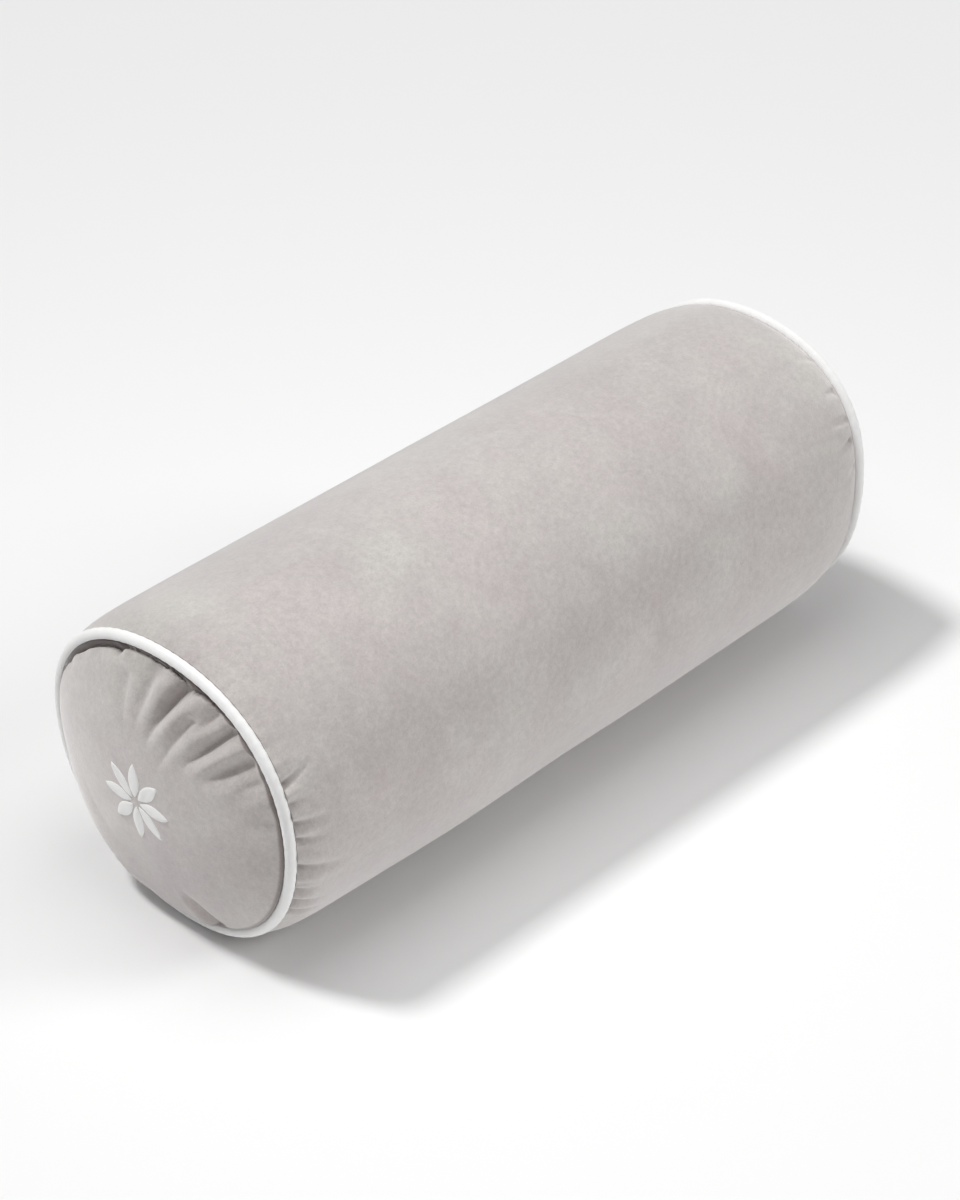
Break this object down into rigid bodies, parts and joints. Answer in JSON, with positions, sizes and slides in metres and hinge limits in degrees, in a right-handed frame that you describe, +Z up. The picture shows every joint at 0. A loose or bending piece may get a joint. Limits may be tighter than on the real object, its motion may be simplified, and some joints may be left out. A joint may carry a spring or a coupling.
{
  "type": "round bolster cushion",
  "caption": "Round bolster cushion: a filled velvet barrel with gathered round ends and covered piping in the end seams, lying flat to support the neck or back.",
  "frame": {"origin": "on the surface it rests on, under the middle of the bolster", "axes": "+X along the bolster from the near end to the far end, +Z up, the side seen in the picture towards -Y"},
  "size_m": [0.5434, 0.2031, 0.1996],
  "materials": {
    "velvet": "short matt pile, warm pale grey",
    "white_cotton": "fine plain weave, white"
  },
  "bodies": {
    "root": {"barrel": "velvet", "end_panel_near": "velvet", "end_panel_far": "velvet", "piping_near": "white_cotton", "piping_far": "white_cotton"}
  },
  "joints": []
}
